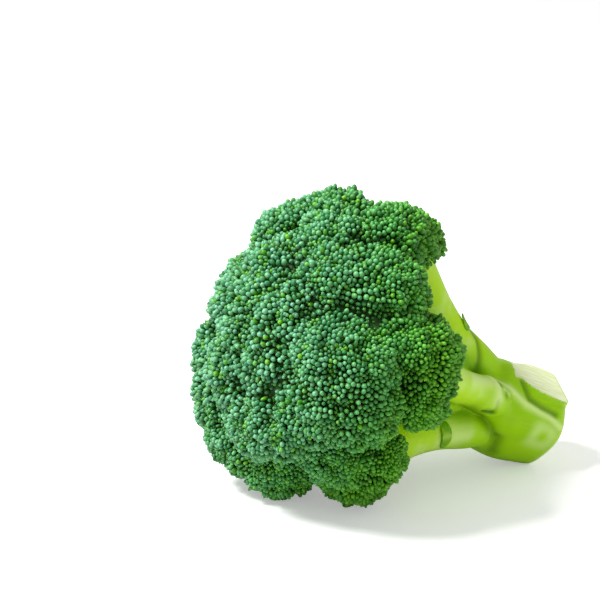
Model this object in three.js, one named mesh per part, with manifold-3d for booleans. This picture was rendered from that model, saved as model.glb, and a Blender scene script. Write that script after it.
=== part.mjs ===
// A head of broccoli as picked, lying on its side on a table: a thick stalk, the branches that fork
// from it, a floret of packed buds on the end of each branch, and the small bracts left on the stalk.
//
// The head is drawn upright in its own frame, with the cut end of the stalk at the origin and +Z along
// the stalk to the apex of the crown. The last section tips it over until it rests on the florets of
// its rim and on the end of the stalk. All sizes are millimetres and all angles degrees.
import * as THREE from "three";
import { ConvexHull } from "three/addons/math/ConvexHull.js";
import { mergeVertices } from "three/addons/utils/BufferGeometryUtils.js";
import Module from "manifold-3d";

const wasm = await Module();
wasm.setup();

// ---------------------------------------------------------------- driving dimensions

const CROWN_RADIUS = 68; // half the width of the crown, at its widest
const CROWN_HEIGHT = 56; // apex above the widest level
const CROWN_LEVEL = 116; // widest level above the cut end
const STALK_RADIUS = 21; // where the stalk is cut off
const STALK_TOP = 100; // the stalk has given off its last branch here
const STALK_TIP_RADIUS = 6; // at the stalk's top
const FORK_LEVEL = 34; // lowest branches leave the stalk here
const GAP = 0.3; // between pieces that touch
const PRESSED = 0.8; // how much of the buds and the stalk is pressed flat where the head rests

// ---------------------------------------------------------------- materials

const BUD_SKIN = new THREE.MeshStandardMaterial({ color: 0x2c6b3f, roughness: 0.7, metalness: 0 });
const STALK_SKIN = new THREE.MeshStandardMaterial({ color: 0x9cc83a, roughness: 0.45, metalness: 0 });
const BRACT_SKIN = new THREE.MeshStandardMaterial({ color: 0x4f8a2a, roughness: 0.55, metalness: 0 });

// ---------------------------------------------------------------- solids

const Z_AXIS = new THREE.Vector3(0, 0, 1);
const { degToRad, lerp, smoothstep } = THREE.MathUtils;

// Unit vector at an angle from the apex, and at a bearing round the stalk.
function direction(polar, bearing) {
  const p = degToRad(polar);
  const b = degToRad(bearing);
  return new THREE.Vector3(Math.sin(p) * Math.cos(b), Math.sin(p) * Math.sin(b), Math.cos(p));
}

// A closed geometry as a solid that can be cut and joined.
function solidOf(geometry) {
  const bare = geometry.index ? geometry.toNonIndexed() : geometry.clone();
  bare.deleteAttribute("normal");
  bare.deleteAttribute("uv");
  const merged = mergeVertices(bare, 1e-4);
  const triVerts = new Uint32Array(merged.index.array);
  const vertProperties = merged.attributes.position.array;
  return new wasm.Manifold(new wasm.Mesh({ numProp: 3, vertProperties, triVerts }));
}

// The largest body of a solid: crumbs that a cut leaves beside it are dropped.
function mainBody(solid) {
  return solid.decompose().reduce((a, b) => (a.volume() > b.volume() ? a : b));
}

function geometryOf(solid) {
  const mesh = solid.getMesh();
  const geometry = new THREE.BufferGeometry();
  geometry.setAttribute("position", new THREE.BufferAttribute(mesh.vertProperties, 3));
  geometry.setIndex(new THREE.BufferAttribute(mesh.triVerts, 1));
  geometry.computeVertexNormals();
  return geometry;
}

// Keeps what lies on the side of a plane that its normal points to.
function keepSide(solid, normal, point) {
  return solid.trimByPlane(normal.toArray(), normal.dot(point));
}

// ---------------------------------------------------------------- florets

// Each floret is a cluster of lobes, [polar, bearing, spread, lift]: where the lobe points, half the
// angle that it covers as seen from the middle of the crown, and how far it stands out of the dome.
// Bearing 0 is the side that ends up on top when the head lies down, and 90 is the side towards +Y.
const FLORETS = {
  top: [[62, -10, 18, 1], [74, 14, 18, 4]],
  upper_rim: [[97, -5, 16, 4], [86, -14, 15, 2], [111, 0, 7, 5]],
  upper_front: [[85, -42, 22, 0], [59, -39, 20, 0]],
  centre_front: [[60, -82, 18, 2], [77, -81, 17, 2], [70, -105, 18, 2], [87, -100, 17, 1]],
  lower_front: [[94, -66, 16, -2], [109, -65, 16, 2], [112, -87, 16, 2]],
  bottom_front: [[88, -127, 18, 0], [111, -144, 19, 4], [111, -121, 11, 0]],
  bottom_left: [[57, -148, 20, 1], [64, -126, 16, 0]],
  bottom: [[85, -171, 23, 2], [68, 172, 17, 4]],
  left: [[54, 158, 18, 2], [41, 128, 18, 0]],
  apex_low: [[30, -171, 18, 0], [13, -125, 14, 0]],
  apex_front: [[34, -107, 16, 0], [36, -63, 19, 0], [21, -30, 14, 0]],
  apex_top: [[14, 62, 17, -1], [34, 5, 17, -1], [34, 83, 15, -3]],
  upper_back: [[57, 35, 19, 3], [82, 42, 19, 0], [103, 26, 13, 0]],
  middle_back: [[58, 78, 19, 0], [86, 76, 19, 0], [106, 62, 12, 0]],
  lower_back: [[66, 112, 20, 0], [94, 106, 19, 0]],
  bottom_back: [[82, 146, 20, 0], [105, 130, 13, 0], [104, 164, 16, 0]],
};
const LOBE_BASE = 0.35; // how far below its centre a lobe's underside lies, as a share of its radius
const LOBE_SIDES = 10;
const LOBE_RINGS = 7;

const crownCentre = new THREE.Vector3(0, 0, CROWN_LEVEL);

// How far the dome of the crown is from the crown's centre, in a direction: the radius of an ellipsoid.
function domeReach(toward) {
  return 1 / Math.hypot(Math.hypot(toward.x, toward.y) / CROWN_RADIUS, toward.z / CROWN_HEIGHT);
}

// A lobe's ball touches the dome from inside, and the cone of its spread.
function makeLobe([polar, bearing, spread, lift]) {
  const out = direction(polar, bearing);
  const reach = domeReach(out) + lift;
  const sine = Math.sin(degToRad(spread));
  const radius = (reach * sine) / (1 + sine);
  const centre = crownCentre.clone().addScaledVector(out, reach - radius);
  return { out, centre, radius };
}

// A lobe is a ball with a flat underside. grow makes it that much bigger all round.
function lobeSolid(lobe, grow = 0) {
  const turn = new THREE.Quaternion().setFromUnitVectors(Z_AXIS, lobe.out);
  const ball = new THREE.SphereGeometry(lobe.radius + grow, LOBE_SIDES, LOBE_RINGS);
  ball.rotateX(Math.PI / 2).applyQuaternion(turn).translate(...lobe.centre);
  const base = lobe.centre.clone().addScaledVector(lobe.out, -LOBE_BASE * lobe.radius - grow);
  return keepSide(solidOf(ball), lobe.out, base);
}

// Cuts a lobe back to the plane where its ball meets a neighbour's, less half the gap.
function cutBack(solid, lobe, other) {
  const across = other.centre.clone().sub(lobe.centre);
  const apart = across.length();
  if (apart > lobe.radius + other.radius + GAP) return solid;
  across.normalize();
  const meet = (apart ** 2 + lobe.radius ** 2 - other.radius ** 2) / (2 * apart);
  const point = lobe.centre.clone().addScaledVector(across, meet - GAP / 2);
  return keepSide(solid, across.negate(), point);
}

const lobes = Object.entries(FLORETS).flatMap(([floret, rows]) =>
  rows.map((row) => ({ floret, ...makeLobe(row) })),
);

function floretSolid(name) {
  const own = lobes.filter((lobe) => lobe.floret === name);
  const others = lobes.filter((lobe) => lobe.floret !== name);
  const trimmed = own.map((lobe) =>
    others.reduce((solid, other) => cutBack(solid, lobe, other), lobeSolid(lobe)),
  );
  return mainBody(trimmed.reduce((a, b) => a.add(b)));
}

// ---------------------------------------------------------------- stalk

const STALK_SIDES = 24;
const RIDGES = 5; // ridges that run up the stalk, one under each of the lowest branches
const RIDGE_RISE = 0.7;
const FORK_SHRINK = 0.6; // under 1, the stalk thins fastest just above its lowest branches
const CHAMFER = 1.2; // worn edge of the cut end
const LEAF_RISE = 2.8; // the base of a leaf stands this far out of the stalk
const LEAF_BEARING = -18;
const LEAF_LEVEL = 7; // its middle
const LEAF_LENGTH = 19.5; // half its length along the stalk
const LEAF_WIDTH = 33; // half its width round the stalk
const LEAF_FACE = 19; // a knife cut the leaf off, to a flat face this far from the stalk's axis
const LEAF_LEAN = 2.3; // and leaning in by this much towards the cut end
const BELLY_RISE = 2; // the stalk is fuller on its low side, under the lowest branches
const BELLY_LEVEL = 19;
const BELLY_WIDTH = 70;
const SCAR_BEARING = -97; // a leaf broken off flush leaves a flat scar here
const SCAR_DEPTH = 0.9;
const SCAR_LEAN = 5;

// Radius of the plain stalk at a height: even up to the first fork, then less with each branch.
function stalkRadius(height) {
  const shrink = Math.max(0, (height - FORK_LEVEL) / (STALK_TOP - FORK_LEVEL));
  return lerp(STALK_RADIUS, STALK_TIP_RADIUS, Math.min(1, shrink) ** FORK_SHRINK);
}

// A bump that is 1 in its middle and fades as a squared cosine to 0 at a distance of half.
function bump(distance, half) {
  return Math.abs(distance) < half ? Math.cos((distance / half) * (Math.PI / 2)) ** 2 : 0;
}

// How far the stalk's skin stands out of the plain stalk: its ridges, the base of the cut leaf, and the
// belly under the lowest branches.
function skinRise(height, bearing) {
  const ridge = RIDGE_RISE * Math.cos(RIDGES * degToRad(bearing - LEAF_BEARING));
  const spread = Math.hypot((height - LEAF_LEVEL) / LEAF_LENGTH, (bearing - LEAF_BEARING) / LEAF_WIDTH);
  const leaf = 1 - smoothstep(spread, 0.8, 1.1);
  const below = Math.abs(bearing) > 100 ? bump(180 - Math.abs(bearing), BELLY_WIDTH) : 0;
  return ridge + LEAF_RISE * leaf + BELLY_RISE * below * bump(height - BELLY_LEVEL, BELLY_LEVEL);
}

// The stalk's outline, from the middle of the cut end up its side to its hidden tip.
function stalkProfile(grow) {
  const steps = 14;
  const side = Array.from({ length: steps + 1 }, (_, i) => {
    const height = lerp(CHAMFER, STALK_TOP, i / steps);
    return new THREE.Vector2(stalkRadius(height) + grow, height);
  });
  const tip = STALK_TOP + STALK_TIP_RADIUS / 2 + grow;
  const start = [new THREE.Vector2(0, -grow), new THREE.Vector2(STALK_RADIUS - CHAMFER + grow, -grow)];
  return [...start, ...side, new THREE.Vector2(0, tip)];
}

function stalkSolid(grow = 0) {
  const turned = new THREE.LatheGeometry(stalkProfile(grow), STALK_SIDES).rotateX(Math.PI / 2);
  const position = turned.attributes.position;
  for (let i = 0; i < position.count; i++) {
    const [x, y, z] = [position.getX(i), position.getY(i), position.getZ(i)];
    const stretch = 1 + skinRise(z, THREE.MathUtils.radToDeg(Math.atan2(y, x))) / STALK_RADIUS;
    position.setXYZ(i, x * stretch, y * stretch, z);
  }
  let solid = solidOf(turned);
  if (solid.volume() < 0) throw new Error("the stalk's profile runs the wrong way round");
  const knife = direction(90 + LEAF_LEAN, LEAF_BEARING);
  solid = keepSide(solid, knife.clone().negate(), knife.multiplyScalar(LEAF_FACE));
  const scar = direction(90 + SCAR_LEAN, SCAR_BEARING);
  return keepSide(solid, scar.clone().negate(), scar.multiplyScalar(STALK_RADIUS - SCAR_DEPTH));
}

// ---------------------------------------------------------------- branches

const BRANCH_SIDES = 8;
const BRANCH_STEPS = 7;
const BRANCH_SHARE = 0.31; // radius of a branch, as a share of a ball with the surface of all its lobes
const BRANCH_FLARE = 1.5; // a branch widens by this factor where it fans out under its floret
const BRANCH_SPLAY = 0.3; // how much a branch leans out where it leaves the stalk
const BRANCH_LIFT = 1.6; // how much a branch rises where it meets its floret
const BRANCH_SINK = 0.8; // share of a branch's radius by which its root lies inside the stalk's skin

// Bends a closed cylinder of unit height, standing on the XY plane, along a curve.
function bendAlong(cylinder, curve, radiusAt) {
  const frames = curve.computeFrenetFrames(BRANCH_STEPS);
  const position = cylinder.attributes.position;
  for (let i = 0; i < position.count; i++) {
    const step = Math.round(position.getY(i) * BRANCH_STEPS);
    const share = step / BRANCH_STEPS;
    const place = curve.getPointAt(share);
    place.addScaledVector(frames.binormals[step], position.getX(i) * radiusAt(share));
    place.addScaledVector(frames.normals[step], position.getZ(i) * radiusAt(share));
    position.setXYZ(i, ...place);
  }
  return cylinder;
}

// A floret's branch: its middle line leaves the stalk upwards and bends out to the floret, and its
// cross-section goes with the surface of buds that it feeds.
function branchOf(name) {
  const own = lobes.filter((lobe) => lobe.floret === name);
  const surface = own.reduce((sum, lobe) => sum + lobe.radius ** 2, 0);
  const end = new THREE.Vector3();
  const out = new THREE.Vector3();
  for (const lobe of own) {
    end.addScaledVector(lobe.centre, lobe.radius ** 2 / surface);
    out.addScaledVector(lobe.out, lobe.radius ** 2 / surface);
  }
  out.normalize();
  const radius = BRANCH_SHARE * Math.sqrt(surface);
  const inward = smoothstep(out.z, -0.2, 1); // 0 for a floret under the rim, 1 for one at the apex
  const level = lerp(FORK_LEVEL, STALK_TOP - radius, inward);
  const side = new THREE.Vector3(out.x, out.y, 0).normalize();
  const reach = Math.max(0, stalkRadius(level) - BRANCH_SINK * radius);
  const root = side.clone().multiplyScalar(reach).setZ(level);
  const rise = root.distanceTo(end) / 3;
  const leave = new THREE.Vector3(BRANCH_SPLAY * out.x, BRANCH_SPLAY * out.y, 1);
  const arrive = out.clone().addScaledVector(Z_AXIS, BRANCH_LIFT).normalize();
  const low = root.clone().addScaledVector(leave, rise);
  const high = end.clone().addScaledVector(arrive, -rise);
  return { name, radius, curve: new THREE.CubicBezierCurve3(root, low, high, end) };
}

function branchTube({ curve, radius }, grow = 0) {
  const cylinder = new THREE.CylinderGeometry(1, 1, 1, BRANCH_SIDES, BRANCH_STEPS).translate(0, 0.5, 0);
  const radiusAt = (share) => radius * lerp(1, BRANCH_FLARE, smoothstep(share, 0.4, 1)) + grow;
  return solidOf(bendAlong(cylinder, curve, radiusAt));
}

// ---------------------------------------------------------------- bracts

// Small leaves on the branches, [branch, share of its length, side, length, width]: side is the angle
// round the branch, with 0 away from the stalk.
const BRACTS = {
  lower: ["bottom_front", 0.36, 55, 7, 13],
  upper: ["upper_rim", 0.38, -15, 9, 8],
  back: ["middle_back", 0.35, 0, 13, 10],
};
const BRACT_THICKNESS = 1.8;
const BRACT_SIDES = 10;
const BRACT_RINGS = 6;

// A bract is a flat lens that lies along its branch.
function bractSolid([branchName, share, side, length, width]) {
  const { curve, radius } = branchOf(branchName);
  const along = curve.getTangentAt(share);
  const away = new THREE.Vector3(along.x, along.y, 0).normalize();
  const across = along.clone().cross(away).normalize();
  const outward = across.clone().cross(along).applyAxisAngle(along, degToRad(side));
  const turn = new THREE.Matrix4().makeBasis(along, outward.clone().cross(along), outward);
  const lens = new THREE.SphereGeometry(1, BRACT_SIDES, BRACT_RINGS).rotateX(Math.PI / 2);
  lens.scale(length / 2, width / 2, BRACT_THICKNESS).applyMatrix4(turn);
  return solidOf(lens.translate(...curve.getPointAt(share).addScaledVector(outward, radius)));
}

// ---------------------------------------------------------------- assembly, standing on its cut end

const solids = new Map();
const materials = new Map();
const names = Object.keys(FLORETS);

function add(name, solid, material) {
  if (solid.isEmpty()) throw new Error(`${name} is empty`);
  solids.set(name, mainBody(solid));
  materials.set(name, material);
}

add("stalk", stalkSolid(), STALK_SKIN);
for (const name of names) add(`floret_${name}`, floretSolid(name), BUD_SKIN);

// A branch gives way to the stalk, to the florets and to the branches before it, and a bract to all.
const taken = [stalkSolid(GAP), ...lobes.map((lobe) => lobeSolid(lobe, GAP))];
const giveWay = (solid) => taken.reduce((rest, other) => rest.subtract(other), solid);
for (const name of names) {
  const branch = branchOf(name);
  add(`branch_${name}`, giveWay(branchTube(branch)), STALK_SKIN);
  taken.push(branchTube(branch, GAP));
}
for (const [name, row] of Object.entries(BRACTS)) {
  add(`bract_${name}`, giveWay(bractSolid(row)), BRACT_SKIN);
}

// ---------------------------------------------------------------- lying down

// The lowest side when the head lies as it does on a table, before it settles.
const NOMINAL_DOWN = direction(110, 180);
const BUD_DENSITY = 0.6; // grams in a cubic centimetre of buds, with the air between them
const FLESH_DENSITY = 0.9;

// A solid's volume, and its mass centre times that volume: a sum over cones from the origin.
function firstMoment(solid) {
  const { vertProperties, triVerts } = solid.getMesh();
  const corner = (i) => new THREE.Vector3().fromArray(vertProperties, 3 * triVerts[i]);
  const moment = new THREE.Vector3();
  let volume = 0;
  for (let i = 0; i < triVerts.length; i += 3) {
    const [a, b, c] = [corner(i), corner(i + 1), corner(i + 2)];
    const cone = a.dot(b.clone().cross(c)) / 6;
    volume += cone;
    moment.addScaledVector(a.add(b).add(c), cone / 4);
  }
  return { volume, moment };
}

function massCentre() {
  const centre = new THREE.Vector3();
  let mass = 0;
  for (const [name, solid] of solids) {
    const density = name.startsWith("floret") ? BUD_DENSITY : FLESH_DENSITY;
    const { volume, moment } = firstMoment(solid);
    centre.addScaledVector(moment, density);
    mass += volume * density;
  }
  return centre.divideScalar(mass);
}

function cornersOf(solid) {
  const position = geometryOf(solid).attributes.position;
  return Array.from({ length: position.count }, (_, i) => new THREE.Vector3().fromBufferAttribute(position, i));
}

// Whether a point lies above a face of the hull, within its edges.
function standsOver(face, point) {
  let edge = face.edge;
  do {
    const [from, to] = [edge.tail().point, edge.head().point];
    const inward = face.normal.clone().cross(to.clone().sub(from));
    if (inward.dot(point.clone().sub(from)) < 0) return false;
    edge = edge.next;
  } while (edge !== face.edge);
  return true;
}

// The head rests on the face of its convex hull that its mass centre stands over, and of several such
// faces on the one nearest to the nominal low side.
function restingFace() {
  const centre = massCentre();
  const hull = new ConvexHull().setFromPoints([...solids.values()].flatMap(cornersOf));
  const steady = hull.faces.filter((face) => standsOver(face, centre));
  return steady.reduce((a, b) => (a.normal.dot(NOMINAL_DOWN) > b.normal.dot(NOMINAL_DOWN) ? a : b));
}

// What would reach below the floor is pressed flat: the buds of the lowest florets, and the cut end.
const rest = restingFace();
const floor = rest.midpoint.clone().addScaledVector(rest.normal, -PRESSED);
const upwards = rest.normal.clone().negate();
const head = new THREE.Group();
for (const [name, solid] of solids) {
  const pressed = mainBody(keepSide(solid, upwards, floor));
  const mesh = new THREE.Mesh(geometryOf(pressed), materials.get(name));
  mesh.name = name;
  head.add(mesh);
}

// Laid on the floor, and turned so that the crown points to -X and the cut end to +X.
head.quaternion.setFromUnitVectors(upwards, Z_AXIS);
const apex = Z_AXIS.clone().applyQuaternion(head.quaternion);
const heading = Math.PI - Math.atan2(apex.y, apex.x);
head.quaternion.premultiply(new THREE.Quaternion().setFromAxisAngle(Z_AXIS, heading));

// The origin is under the middle of the whole head, on the floor.
const object = new THREE.Group().add(head);
const box = new THREE.Box3().setFromObject(object, true);
head.position.set(-(box.min.x + box.max.x) / 2, -(box.min.y + box.max.y) / 2, -box.min.z);

export default object;
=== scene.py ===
# A head of broccoli as picked, lying on its side on a pale table. The stalk comes first, then the branches
# that fork from it, the florets of packed buds on their ends, the small bracts, and last the table and light.
# Each piece is worked out in millimetres in the head's own frame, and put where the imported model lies.
import math

import bpy
import numpy as np
from mathutils import Matrix, Vector


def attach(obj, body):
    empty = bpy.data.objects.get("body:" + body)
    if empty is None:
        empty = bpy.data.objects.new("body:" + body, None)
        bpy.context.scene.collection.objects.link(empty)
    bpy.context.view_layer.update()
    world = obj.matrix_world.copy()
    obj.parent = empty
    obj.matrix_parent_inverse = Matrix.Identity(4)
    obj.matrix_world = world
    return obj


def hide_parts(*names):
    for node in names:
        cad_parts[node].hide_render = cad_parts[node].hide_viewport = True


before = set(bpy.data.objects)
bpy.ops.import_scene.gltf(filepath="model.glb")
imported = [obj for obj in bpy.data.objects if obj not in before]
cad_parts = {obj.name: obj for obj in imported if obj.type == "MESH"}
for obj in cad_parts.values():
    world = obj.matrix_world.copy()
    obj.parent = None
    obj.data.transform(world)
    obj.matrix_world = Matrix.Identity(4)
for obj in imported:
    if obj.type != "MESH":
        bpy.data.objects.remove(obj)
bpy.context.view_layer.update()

# ------------------------------------------------------------------------------------------ how it lies
# The head's own frame has the middle of the cut end at its origin and +Z along the stalk to the apex, and
# bearings round the stalk count from the side that is on top. The head lies on the rim of its crown and on
# the end of its stalk, so that its axis rises from the cut end, and it is rolled a little about that axis.

AXIS_RISE = math.radians(22.6816)
ROLL = math.radians(-2.8757)
CUT_END = np.array([78.431, 0.562, 18.307])  # middle of the cut end, in the row's frame

axis = np.array([-math.cos(AXIS_RISE), 0.0, math.sin(AXIS_RISE)])
level_side = np.array([0.0, 1.0, 0.0])
upper_side = np.cross(level_side, axis)
HEAD_AXES = np.array([
    math.cos(ROLL) * upper_side + math.sin(ROLL) * level_side,
    math.cos(ROLL) * level_side - math.sin(ROLL) * upper_side,
    axis,
])


def in_row(points):
    """Points in the head's frame, in millimetres, as points of the row's frame, in metres.

    Each point is turned onto the head's three axes and moved to the cut end, and nothing goes below the
    table, so what would is pressed flat.
    """
    placed = (points @ HEAD_AXES + CUT_END) / 1000
    placed[..., 2] = np.maximum(placed[..., 2], 0.0)
    return placed


# ---------------------------------------------------------------------------------- the plan of the crown
# The crown is a dome of lobes, each a ball that touches the dome from inside: its direction from the middle
# of the crown, half the angle that it covers from there, and how far it stands out. Neighbouring lobes that
# one branch feeds make a floret.

CROWN_RADIUS = 68
CROWN_HEIGHT = 56
CROWN_LEVEL = 116

FLORETS = {
    "top": [(62, -10, 18, 1), (74, 14, 18, 4)],
    "upper_rim": [(97, -5, 16, 4), (86, -14, 15, 2), (111, 0, 7, 5)],
    "upper_front": [(85, -42, 22, 0), (59, -39, 20, 0)],
    "centre_front": [(60, -82, 18, 2), (77, -81, 17, 2), (70, -105, 18, 2), (87, -100, 17, 1)],
    "lower_front": [(94, -66, 16, -2), (109, -65, 16, 2), (112, -87, 16, 2)],
    "bottom_front": [(88, -127, 18, 0), (111, -144, 19, 4), (111, -121, 11, 0)],
    "bottom_left": [(57, -148, 20, 1), (64, -126, 16, 0)],
    "bottom": [(85, -171, 23, 2), (68, 172, 17, 4)],
    "left": [(54, 158, 18, 2), (41, 128, 18, 0)],
    "apex_low": [(30, -171, 18, 0), (13, -125, 14, 0)],
    "apex_front": [(34, -107, 16, 0), (36, -63, 19, 0), (21, -30, 14, 0)],
    "apex_top": [(14, 62, 17, -1), (34, 5, 17, -1), (34, 83, 15, -3)],
    "upper_back": [(57, 35, 19, 3), (82, 42, 19, 0), (103, 26, 13, 0)],
    "middle_back": [(58, 78, 19, 0), (86, 76, 19, 0), (106, 62, 12, 0)],
    "lower_back": [(66, 112, 20, 0), (94, 106, 19, 0)],
    "bottom_back": [(82, 146, 20, 0), (105, 130, 13, 0), (104, 164, 16, 0)],
}


def direction(polar, bearing):
    """Unit vectors at angles from the apex and at bearings round the stalk, both in degrees."""
    polar, bearing = np.radians(polar), np.radians(bearing)
    flat = np.sin(polar)
    return np.stack([flat * np.cos(bearing), flat * np.sin(bearing), np.cos(polar)], axis=-1)


def lobes_of(rows):
    """Outward directions, centres and radii of lobes.

    The dome is half an ellipsoid about the middle of the crown. A ball of radius r whose centre is
    r short of the dome covers an angle whose sine is r over the rest.
    """
    polar, bearing, spread, lift = np.array(rows, float).T
    out = direction(polar, bearing)
    reach = 1 / np.hypot(np.hypot(out[:, 0], out[:, 1]) / CROWN_RADIUS, out[:, 2] / CROWN_HEIGHT) + lift
    sine = np.sin(np.radians(spread))
    radius = reach * sine / (1 + sine)
    centre = out * (reach - radius)[:, None] + np.array([0, 0, CROWN_LEVEL])
    return out, centre, radius


lobes = {name: lobes_of(rows) for name, rows in FLORETS.items()}

# ---------------------------------------------------------------------------------------------- the stalk
# The main stem, cut square with a knife. Blunt ridges run up it, one of them is the base of a leaf stalk
# that the knife took off on a slant, and a leaf that broke off left a flat scar. It grows into the branches
# without a seam, so the lower half of each branch is part of this surface.

STALK_RADIUS = 21
STALK_TOP = 100
STALK_TIP_RADIUS = 6
FORK_LEVEL = 34
FORK_SHRINK = 0.6
BRANCH_SHARE = 0.31
BRANCH_SPLAY = 0.3
BRANCH_LIFT = 1.6
BRANCH_FLARE = 1.5
BRANCH_SINK = 0.8
FLARE_START = 0.4  # share of its length where a branch begins to widen
FORK_STUB = 0.62  # share of a branch's length that belongs to the stalk's surface
STUB_SIDES = 20
COLLAR_RISE = 0.12  # the collar's bell, as shares of the branch's radius and of its length
COLLAR_PLACE = 0.15
COLLAR_WIDTH = 0.12
STUB_END = [0.97, 0.86, 0.6]  # the last three circles close in, inside the branch that goes on from there


def unit(vectors):
    """Vectors at length 1: each over its own length."""
    return vectors / np.linalg.norm(vectors, axis=-1, keepdims=True)


def smoothstep(value, low, high):
    """From 0 at low to 1 at high, and level at both: thrice the square of the share less twice its cube."""
    share = np.clip((value - low) / (high - low), 0, 1)
    return share * share * (3 - 2 * share)


def stalk_radius(height):
    """Even up to the first fork, then less with each branch: a power of the share of the way up."""
    share = np.clip((height - FORK_LEVEL) / (STALK_TOP - FORK_LEVEL), 0, 1)
    return STALK_RADIUS + (STALK_TIP_RADIUS - STALK_RADIUS) * share ** FORK_SHRINK


def branch_plan(name):
    """Radius at its root and the four control points of a branch's middle line.

    The line leaves the stalk upwards and bends out to the floret, and the cross-section goes with the
    surface of buds that it feeds, so the radius goes with the root of the sum of the lobes' squares.
    """
    out, centre, radius = lobes[name]
    weight = radius ** 2 / np.sum(radius ** 2)
    end = weight @ centre
    outward = unit(weight @ out)
    root_radius = BRANCH_SHARE * math.sqrt(np.sum(radius ** 2))
    inward = smoothstep(outward[2], -0.2, 1.0)
    level = FORK_LEVEL + (STALK_TOP - root_radius - FORK_LEVEL) * inward
    side = unit(outward * [1, 1, 0])
    root = side * max(0, stalk_radius(level) - BRANCH_SINK * root_radius) + [0, 0, level]
    rise = np.linalg.norm(end - root) / 3
    low = root + rise * np.array([BRANCH_SPLAY * outward[0], BRANCH_SPLAY * outward[1], 1])
    high = end - rise * unit(outward + [0, 0, BRANCH_LIFT])
    return root_radius, np.array([root, low, high, end])


def bezier(controls, share):
    """Points of a cubic Bezier curve: its four control points weighted by the cubic Bernstein terms."""
    s = np.asarray(share)[:, None]
    a, b, c, d = controls
    return a * (1 - s) ** 3 + 3 * b * s * (1 - s) ** 2 + 3 * c * s ** 2 * (1 - s) + d * s ** 3


def tube(path, radius, sides=16):
    """A closed tube: circles of the given radii carried along a path, square to it, with a point at each end.

    Across each circle lie two directions square to the path: one square to a fixed direction as well,
    and the cross product of the two.
    """
    along = unit(np.gradient(path, axis=0))
    fixed = unit(np.cross(path[-1] - path[0], [0.31, -0.2, 0.93]))
    across = unit(np.cross(along, fixed))
    other = np.cross(along, across)
    turn = np.linspace(0, 2 * math.pi, sides, endpoint=False)
    ring = across[:, None] * np.cos(turn)[:, None] + other[:, None] * np.sin(turn)[:, None]
    skin = path[:, None] + ring * np.asarray(radius)[:, None, None]
    points = np.concatenate([skin.reshape(-1, 3), path[:1], path[-1:]])
    return points, grid_faces(len(path), sides)


def grid_faces(rows, sides):
    """Faces of rows of points that each run once round, closed by a fan to a point at each end.

    Row after row of points comes first, then the point before the first row, then the one after the last.
    """
    here = np.arange(sides)
    after = (here + 1) % sides
    start = (np.arange(rows - 1) * sides)[:, None]
    quads = np.stack([start + here, start + after, start + sides + after, start + sides + here], axis=-1)
    first, last = rows * sides, rows * sides + 1
    top = (rows - 1) * sides
    fans = np.concatenate([
        np.stack([after, here, np.full(sides, first)], axis=-1),
        np.stack([top + here, top + after, np.full(sides, last)], axis=-1),
    ])
    return quads.reshape(-1, 4), fans


def many(shapes):
    """Several shapes of points, quads and triangles as one, with the corners counted on."""
    points, quads, fans, count = [], [], [], 0
    for shape_points, (shape_quads, shape_fans) in shapes:
        points.append(shape_points)
        quads.append(shape_quads + count)
        fans.append(shape_fans + count)
        count += len(shape_points)
    return np.concatenate(points), (np.concatenate(quads), np.concatenate(fans))


def new_piece(name, points, faces, smooth=True):
    """An object at the origin with these points, in metres, and arrays of faces."""
    corners = np.concatenate([array.ravel() for array in faces])
    sizes = np.concatenate([np.full(len(array), array.shape[1]) for array in faces])
    mesh = bpy.data.meshes.new(name)
    mesh.vertices.add(len(points))
    mesh.vertices.foreach_set("co", np.asarray(points, np.float32).ravel())
    mesh.loops.add(len(corners))
    mesh.loops.foreach_set("vertex_index", corners.astype(np.int32))
    mesh.polygons.add(len(sizes))
    mesh.polygons.foreach_set("loop_start", (np.cumsum(sizes) - sizes).astype(np.int32))
    mesh.polygons.foreach_set("use_smooth", np.full(len(sizes), smooth))
    mesh.update(calc_edges=True)
    piece = bpy.data.objects.new(name, mesh)
    bpy.context.scene.collection.objects.link(piece)
    return piece


def points_of(piece):
    """The points of a piece's mesh, in millimetres in the head's frame."""
    flat = np.zeros(len(piece.data.vertices) * 3, np.float32)
    piece.data.vertices.foreach_get("co", flat)
    return (flat.reshape(-1, 3).astype(float) * 1000 - CUT_END) @ HEAD_AXES.T


def move_points(piece, points):
    """Puts the points of a piece's mesh where these are, in millimetres in the head's frame."""
    piece.data.vertices.foreach_set("co", in_row(points).astype(np.float32).ravel())
    piece.data.update()


def set_values(piece, name, values):
    """A value at each point of a piece, which its material reads by name."""
    attribute = piece.data.attributes.new(name, "FLOAT", "POINT")
    attribute.data.foreach_set("value", np.asarray(values, np.float32))


def grown_together(piece, voxel, rounds):
    """Runs a piece's overlapping shapes into one skin: remeshed in cubes, then each point moved rounds
    times towards the middle of its neighbours."""
    remesh = piece.modifiers.new("one skin", "REMESH")
    remesh.mode = "VOXEL"
    remesh.voxel_size = voxel / 1000
    remesh.use_smooth_shade = True
    smooth = piece.modifiers.new("soft joints", "SMOOTH")
    smooth.factor = 0.5
    smooth.iterations = rounds
    evaluated = piece.evaluated_get(bpy.context.evaluated_depsgraph_get())
    mesh = bpy.data.meshes.new_from_object(evaluated)
    piece.modifiers.clear()
    piece.data = mesh
    return piece


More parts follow.
